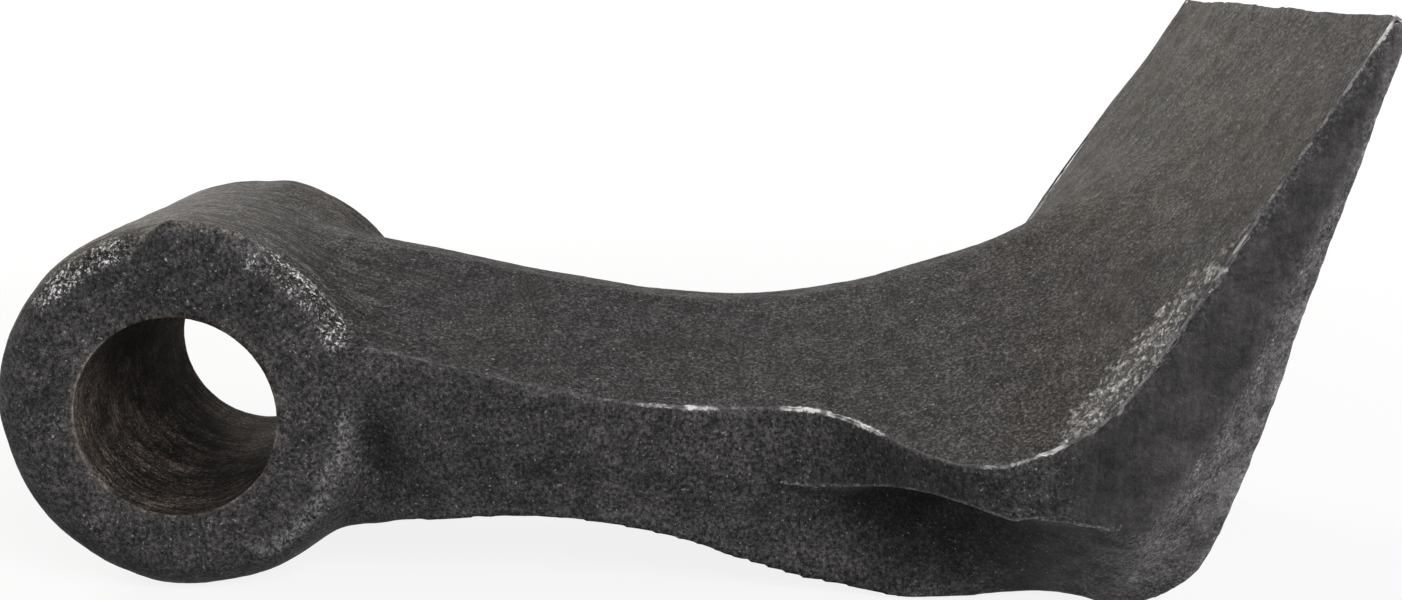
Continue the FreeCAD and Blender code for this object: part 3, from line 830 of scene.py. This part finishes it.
def bore_marks(nodes, place):
    """Heights of the drill's marks, which run round the bore and lean a little along it."""
    parts = nodes.add("ShaderNodeSeparateXYZ")
    nodes.join(place, parts.inputs[0])
    turn = nodes.math("ARCTAN2", parts.outputs["X"], parts.outputs["Z"])
    along = nodes.plus(parts.outputs["Y"], nodes.times(turn, 0.9 * MM))
    marks = nodes.add("ShaderNodeCombineXYZ")
    nodes.join(nodes.times(turn, 1.2 * MM), marks.inputs[0])
    nodes.join(along, marks.inputs[1])
    return nodes.noise(marks.outputs[0], 0.7, 3, 0.65)


def steel_shade(nodes, noises):
    """How light the scale is: grainy, drawn out on the blade's sides and finer up the cutting face."""
    light_grains = nodes.math("POWER", nodes.ranged(noises.grain, 0.34, 0.74), 1.7)
    fine_grains = nodes.math("POWER", nodes.ranged(noises.fine_grain, 0.41, 0.65), 1.7)
    grains = nodes.blend(nodes.attribute("upward"), light_grains, fine_grains)
    brushed = nodes.noise(nodes.stretched(noises.place, (1, 1, 0.1)), 0.5, 2, 0.6)
    drawn = nodes.ranged(noises.grain, 0.3, 0.7, 0.6, 1.45)
    drawn = nodes.times(drawn, nodes.ranged(brushed, 0.3, 0.7, 0.82, 1.18))
    shade = nodes.blend(nodes.attribute("drawn_side"), nodes.ranged(grains, 0, 1, 0.14, 4.7), drawn)
    smooth_share = nodes.ranged(noises.patches, 0.35, 0.6, 0.2, 0.9)
    smooth_share = nodes.times(nodes.attribute("smooth_face"), smooth_share)
    shade = nodes.blend(smooth_share, shade, nodes.ranged(noises.fine_grain, 0.38, 0.64, 0.35, 1.75))
    drilled = nodes.ranged(noises.drill, 0.35, 0.65, 0.65, 1.35)
    drilled = nodes.times(drilled, nodes.ranged(noises.blotches, 0.4, 0.6, 0.6, 1.45))
    shade = nodes.blend(nodes.attribute("bore_wall"), shade, nodes.times(shade, drilled))
    painted_back_light = nodes.times(nodes.attribute("painted_back_light"), nodes.ranged(noises.mottle, 0.36, 0.62, 0.35, 1.25))
    for factor in (
        nodes.ranged(noises.mottle, 0.32, 0.68, 0.62, 1.42),
        nodes.ranged(noises.blotches, 0.35, 0.65, 0.82, 1.18),
        # painted shade in the hollows, down to 0.45
        nodes.ranged(nodes.attribute("hollow"), 0, 1, 1, 0.45),
        # painted light beside the blade's back and at the heel, up to 2.2 times
        nodes.ranged(painted_back_light, 0, 1, 1, 2.2),
        # polish and painted sheen: lighter up the cutting face, up to 1.55 times
        nodes.ranged(nodes.attribute("polish_and_sheen"), 0, 1, 1, 1.55),
        # painted shade: faces that look up are made darker, down to 0.78
        nodes.ranged(nodes.attribute("upward"), 0, 1, 1, 0.78),
        # painted shade where little light reaches, down to 0.55
        nodes.ranged(nodes.attribute("painted_shade"), 0, 1.5, 1, 0.55),
        nodes.ranged(noises.wrinkles, -0.11, 0.11, 0.45, 1.6),
    ):
        shade = nodes.times(shade, factor)
    return shade


def flash_metal(nodes, noises, ragged):
    """The bare metal on the parting line."""
    gap = nodes.math("ABSOLUTE", nodes.attribute("flash_gap"))
    shine = nodes.attribute("flash_shine")
    reach = nodes.math("SUBTRACT", gap, nodes.times(shine, 0.2))
    line = nodes.ranged(nodes.plus(reach, ragged), 0.18, 0.04)
    patchy = nodes.ranged(nodes.noise(noises.place, 1.5, 2, 0.6), 0.44, 0.56, 0.3, 1)
    return nodes.times(nodes.times(line, patchy), shine)


def worn_grit_and_highlight(nodes, noises):
    """The bright grit of the worn band beside the foot of the cutting face, and a highlight painted along
    it.
    """
    clusters = nodes.noise(noises.place, 0.9, 3, 0.65)
    inside = nodes.plus(nodes.attribute("worn_depth"), nodes.ranged(clusters, 0.3, 0.7, -1.6, 1.6))
    on_top = nodes.ranged(nodes.attribute("flash_gap"), -0.12, 0.05)
    worn_band = nodes.times(nodes.ranged(inside, 0, 2), on_top)
    bright_specks = nodes.ranged(noises.specks, 0.5, 0.8, 0, 0.6)
    grit = nodes.plus(nodes.ranged(clusters, 0.42, 0.66, 0, 0.5), bright_specks)
    return nodes.times(worn_band, nodes.ranged(grit, 0.2, 0.95, 0.05, 0.9))


def bare_metal(nodes, noises):
    """How much bright metal shows through the scale, from 0 to 1, with painted highlights among it."""
    flecks = noises.flecks
    ragged = nodes.ranged(flecks, 0.35, 0.65, -0.14, 0.2)
    sparks = nodes.ranged(nodes.noise(noises.place, 0.38, 3, 0.75), 0.52, 0.63, 0, 1.5)
    sparkling = nodes.times(sparks, nodes.ranged(noises.mottle, 0.4, 0.58, 0.2, 1))
    rim = nodes.ranged(nodes.plus(nodes.attribute("rim_gap"), ragged), 0.3, 0.02)
    single_specks = nodes.ranged(noises.specks, 0.68, 0.82, 0, 0.5)
    bright = nodes.blend(nodes.attribute("drawn_side"), single_specks, 0.0)
    for wear in (
        flash_metal(nodes, noises, ragged),
        nodes.times(rim, nodes.ranged(noises.mottle, 0.46, 0.6, 0.02, 0.35)),
        nodes.ranged(nodes.plus(nodes.attribute("sill_gap"), ragged), 0.35, 0.1, 0, 0.4),
        nodes.times(nodes.attribute("edge_wear"), nodes.ranged(flecks, 0.47, 0.68, 0, 0.18)),
        # worn grit, with a highlight painted along the foot of the cutting face
        worn_grit_and_highlight(nodes, noises),
        # painted highlights, sparkling, on the eye's rims
        nodes.times(nodes.attribute("painted_rim_highlight"), sparkling),
        # painted highlight along the rib beside the eye
        nodes.times(nodes.attribute("painted_bead_highlight"), nodes.ranged(flecks, 0.45, 0.65, 0, 0.4)),
        # painted glints: bright flecks in the painted light beside the back
        nodes.times(nodes.attribute("painted_back_light"), nodes.ranged(flecks, 0.5, 0.75, 0, 0.25)),
    ):
        bright = nodes.math("MAXIMUM", bright, wear)
    return bright


def cracks(nodes, place):
    """Heights of the scale's short cracks, which show in a few patches only."""
    wander = nodes.add("ShaderNodeTexNoise")
    wander.inputs["Scale"].default_value = 1 / (1.5 * MM)
    nodes.join(place, wander.inputs["Vector"])
    shift = nodes.add("ShaderNodeVectorMath", operation="SCALE")
    nodes.join(wander.outputs["Color"], shift.inputs[0])
    shift.inputs["Scale"].default_value = 1.2 * MM
    moved = nodes.add("ShaderNodeVectorMath", operation="ADD")
    nodes.join(place, moved.inputs[0])
    nodes.join(shift.outputs["Vector"], moved.inputs[1])
    cells = nodes.add("ShaderNodeTexVoronoi", feature="DISTANCE_TO_EDGE")
    cells.inputs["Scale"].default_value = 1 / (3.2 * MM)
    nodes.join(moved.outputs["Vector"], cells.inputs["Vector"])
    depth = nodes.ranged(cells.outputs["Distance"], 0.0, 0.07, -1.6, 0)
    return nodes.times(depth, nodes.ranged(nodes.noise(place, 8, 2, 0.6), 0.52, 0.62))


def steel_relief(nodes, noises):
    """The fine bumps of the scale, of the drill's marks, of the cracks and of the wrinkles."""
    height = nodes.plus(noises.mottle, nodes.times(noises.grain, 0.9))
    for marks in (
        nodes.times(nodes.times(noises.drill, nodes.attribute("bore_wall")), 1.6),
        nodes.times(cracks(nodes, noises.place), nodes.attribute("crackled")),
        nodes.times(noises.wrinkles, 2.2),
    ):
        height = nodes.plus(height, marks)
    bump = nodes.add("ShaderNodeBump")
    bump.inputs["Strength"].default_value = 1
    bump.inputs["Distance"].default_value = 0.2 * MM
    nodes.join(height, bump.inputs["Height"])
    return bump.outputs["Normal"]


def forged_steel(settings):
    """Dark mill scale with light grains, faint rust on top, and bare metal along the worn edges."""
    nodes = Nodes(bpy.data.materials.new("forged_steel"))
    noises = SteelNoises(nodes)
    bore_wall = nodes.attribute("bore_wall")
    rust = nodes.times(nodes.ranged(noises.patches, 0.36, 0.62, 0.25, 1), nodes.attribute("warm"))
    colour = nodes.mix(rust, settings.scale_colour, settings.warm_colour)
    colour = nodes.mix(bore_wall, colour, settings.bore_colour)
    colour = nodes.mix(1.0, colour, steel_shade(nodes, noises), "MULTIPLY")
    bright = bare_metal(nodes, noises)
    roughness = nodes.ranged(noises.mottle, 0.35, 0.65, 0.72, 0.58)
    roughness = nodes.plus(roughness, nodes.times(bore_wall, 0.25))
    roughness = nodes.math("SUBTRACT", roughness, nodes.times(bright, 0.2))
    shader = nodes.shader.inputs
    nodes.join(nodes.mix(bright, colour, settings.bright_colour), shader["Base Color"])
    nodes.join(roughness, shader["Roughness"])
    nodes.join(nodes.times(bright, 0.5), shader["Metallic"])
    nodes.join(steel_relief(nodes, noises), shader["Normal"])
    shader["Specular IOR Level"].default_value = 0.14
    return nodes.owner


def seen_share(nodes):
    """1 where the camera, a reflection or glass sees the backdrop, and 0 where it only gives light."""
    path = nodes.add("ShaderNodeLightPath")
    seen = nodes.plus(path.outputs["Is Camera Ray"], path.outputs["Is Glossy Ray"])
    return nodes.math("MINIMUM", nodes.plus(seen, path.outputs["Is Transmission Ray"]), 1.0)


def backdrop_material():
    """White to the camera and in reflections, a little less beside the object so that its shadow shows."""
    nodes = Nodes(bpy.data.materials.new("pale_floor"))
    distance = nodes.add("ShaderNodeVectorMath", operation="LENGTH")
    nodes.join(nodes.add("ShaderNodeTexCoord").outputs["Object"], distance.inputs[0])
    white = nodes.ranged(distance.outputs["Value"], 0.15, 0.6, 0.86, 1)
    shader = nodes.shader.inputs
    shader["Base Color"].default_value = FLOOR_GREY
    shader["Roughness"].default_value = 1
    shader["Specular IOR Level"].default_value = 0
    shader["Emission Color"].default_value = WHITE
    nodes.join(nodes.times(seen_share(nodes), white), shader["Emission Strength"])
    return nodes.owner


def add_piece(name, mesh, material):
    mesh.materials.clear()
    mesh.materials.append(material)
    piece = bpy.data.objects.new(name, mesh)
    bpy.context.collection.objects.link(piece)
    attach(piece, "root")
    return piece


class HAMMER_OT_forge(bpy.types.Operator):
    """Makes the forged hammer's skin over its solid"""

    bl_idname = "hammer.forge"
    bl_label = "Forge the hammer"

    def execute(self, context):
        settings = context.scene.hammer_forging
        lines = lines_on_solid(meets_at_parting, PARTING_ANGLE)
        sills = lines_on_solid(meets_at_sill, SILL_ANGLE)
        for sill in sills.values():
            level_foot(sill.places)
        mesh = even_skin(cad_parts[SOLID], settings.skin_cells)
        forge(mesh, lines, sills, settings)
        steel = forged_steel(context.scene.hammer_finish)
        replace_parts(add_piece(PIECE, mesh, steel), SOLID)
        return {"FINISHED"}


class HAMMER_OT_flash(bpy.types.Operator):
    """Raises the ragged burrs along the forged hammer's two parting lines"""

    bl_idname = "hammer.flash"
    bl_label = "Raise the flash"

    def execute(self, context):
        steel = bpy.data.objects[PIECE].active_material
        height = context.scene.hammer_forging.burr_height / MM
        lines = lines_on_solid(meets_at_parting, PARTING_ANGLE)
        shift_to_skin(lines)
        for side_name, side in SIDES.items():
            name = "flash_" + side_name
            add_piece(name, burr_mesh(lines[side], name, height), steel)
        return {"FINISHED"}


class HAMMER_OT_stage(bpy.types.Operator):
    """Sets the floor, the lamps and the camera"""

    bl_idname = "hammer.stage"
    bl_label = "Set the stage"

    def execute(self, context):
        scene = context.scene
        settings = scene.hammer_stage
        set_floor(scene, CAD_BOX[0][2])
        add_lamp(scene, "key", (-0.42, 0.62, 0.42), 0.42, settings.key_power, (1, 0.95, 0.88))
        add_lamp(scene, "side", (0.5, -0.1, 0.03), 0.25, settings.side_power, (1, 0.98, 1))
        add_lamp(scene, "front", (0.3, -0.52, 0.34), 0.35, settings.front_power, (0.98, 0.97, 1))
        set_world(scene, settings.ambient)
        set_camera(scene, settings)
        scene.view_settings.view_transform = "Standard"
        return {"FINISHED"}


class HAMMER_PT_panel(bpy.types.Panel):
    """The hammer's settings and steps"""

    bl_label = "Mulcher hammer blade"
    bl_idname = "HAMMER_PT_panel"
    bl_space_type = "VIEW_3D"
    bl_region_type = "UI"
    bl_category = "Hammer"

    def draw(self, context):
        for group, steps in (
            (context.scene.hammer_finish, ()),
            (context.scene.hammer_forging, (HAMMER_OT_forge, HAMMER_OT_flash)),
            (context.scene.hammer_stage, (HAMMER_OT_stage,)),
        ):
            box = self.layout.box()
            for name in group.__annotations__:
                box.prop(group, name)
            for step in steps:
                box.operator(step.bl_idname)


def set_floor(scene, height):
    mesh = bpy.data.meshes.new("floor")
    corners = ((-1, -1), (1, -1), (1, 1), (-1, 1))
    mesh.from_pydata([(x * FLOOR_REACH, y * FLOOR_REACH, height) for x, y in corners], [], [(0, 1, 2, 3)])
    mesh.materials.append(backdrop_material())
    floor = bpy.data.objects.new("floor", mesh)
    scene.collection.objects.link(floor)


def add_lamp(scene, name, place, size, power, colour):
    light = bpy.data.lights.new(name, "AREA")
    light.color = colour
    light.shape = "DISK"
    light.size = size
    light.energy = power
    lamp = bpy.data.objects.new(name, light)
    lamp.location = place
    lamp.rotation_euler = (Vector(LAMP_TARGET) - Vector(place)).to_track_quat("-Z", "Y").to_euler()
    scene.collection.objects.link(lamp)


def set_world(scene, ambient):
    """A white world, which gives the object only a little light."""
    scene.world = bpy.data.worlds.new("studio")
    nodes = Nodes(scene.world)
    background = nodes.tree.nodes["Background"]
    background.inputs["Color"].default_value = WHITE
    nodes.join(nodes.ranged(seen_share(nodes), 0, 1, ambient, 1), background.inputs["Strength"])


def set_camera(scene, settings):
    data = bpy.data.cameras.new("camera")
    data.sensor_fit = "HORIZONTAL"
    data.sensor_width = SENSOR_WIDTH_MM
    data.lens = settings.lens
    data.clip_start = CLIP_START
    camera = bpy.data.objects.new("camera", data)
    camera.location = settings.camera_place
    camera.rotation_euler = Euler((np.pi / 2 - settings.camera_pitch, 0, 0))
    scene.collection.objects.link(camera)
    scene.camera = camera


CLASSES = (
    ForgingSettings,
    FinishSettings,
    StageSettings,
    HAMMER_OT_forge,
    HAMMER_OT_flash,
    HAMMER_OT_stage,
    HAMMER_PT_panel,
)


def register():
    for item in CLASSES:
        bpy.utils.register_class(item)
    bpy.types.Scene.hammer_forging = PointerProperty(type=ForgingSettings)
    bpy.types.Scene.hammer_finish = PointerProperty(type=FinishSettings)
    bpy.types.Scene.hammer_stage = PointerProperty(type=StageSettings)


def unregister():
    del bpy.types.Scene.hammer_stage
    del bpy.types.Scene.hammer_finish
    del bpy.types.Scene.hammer_forging
    for item in reversed(CLASSES):
        bpy.utils.unregister_class(item)


def main():
    register()
    bpy.ops.hammer.forge()
    bpy.ops.hammer.flash()
    bpy.ops.hammer.stage()


if __name__ == "__main__":
    main()
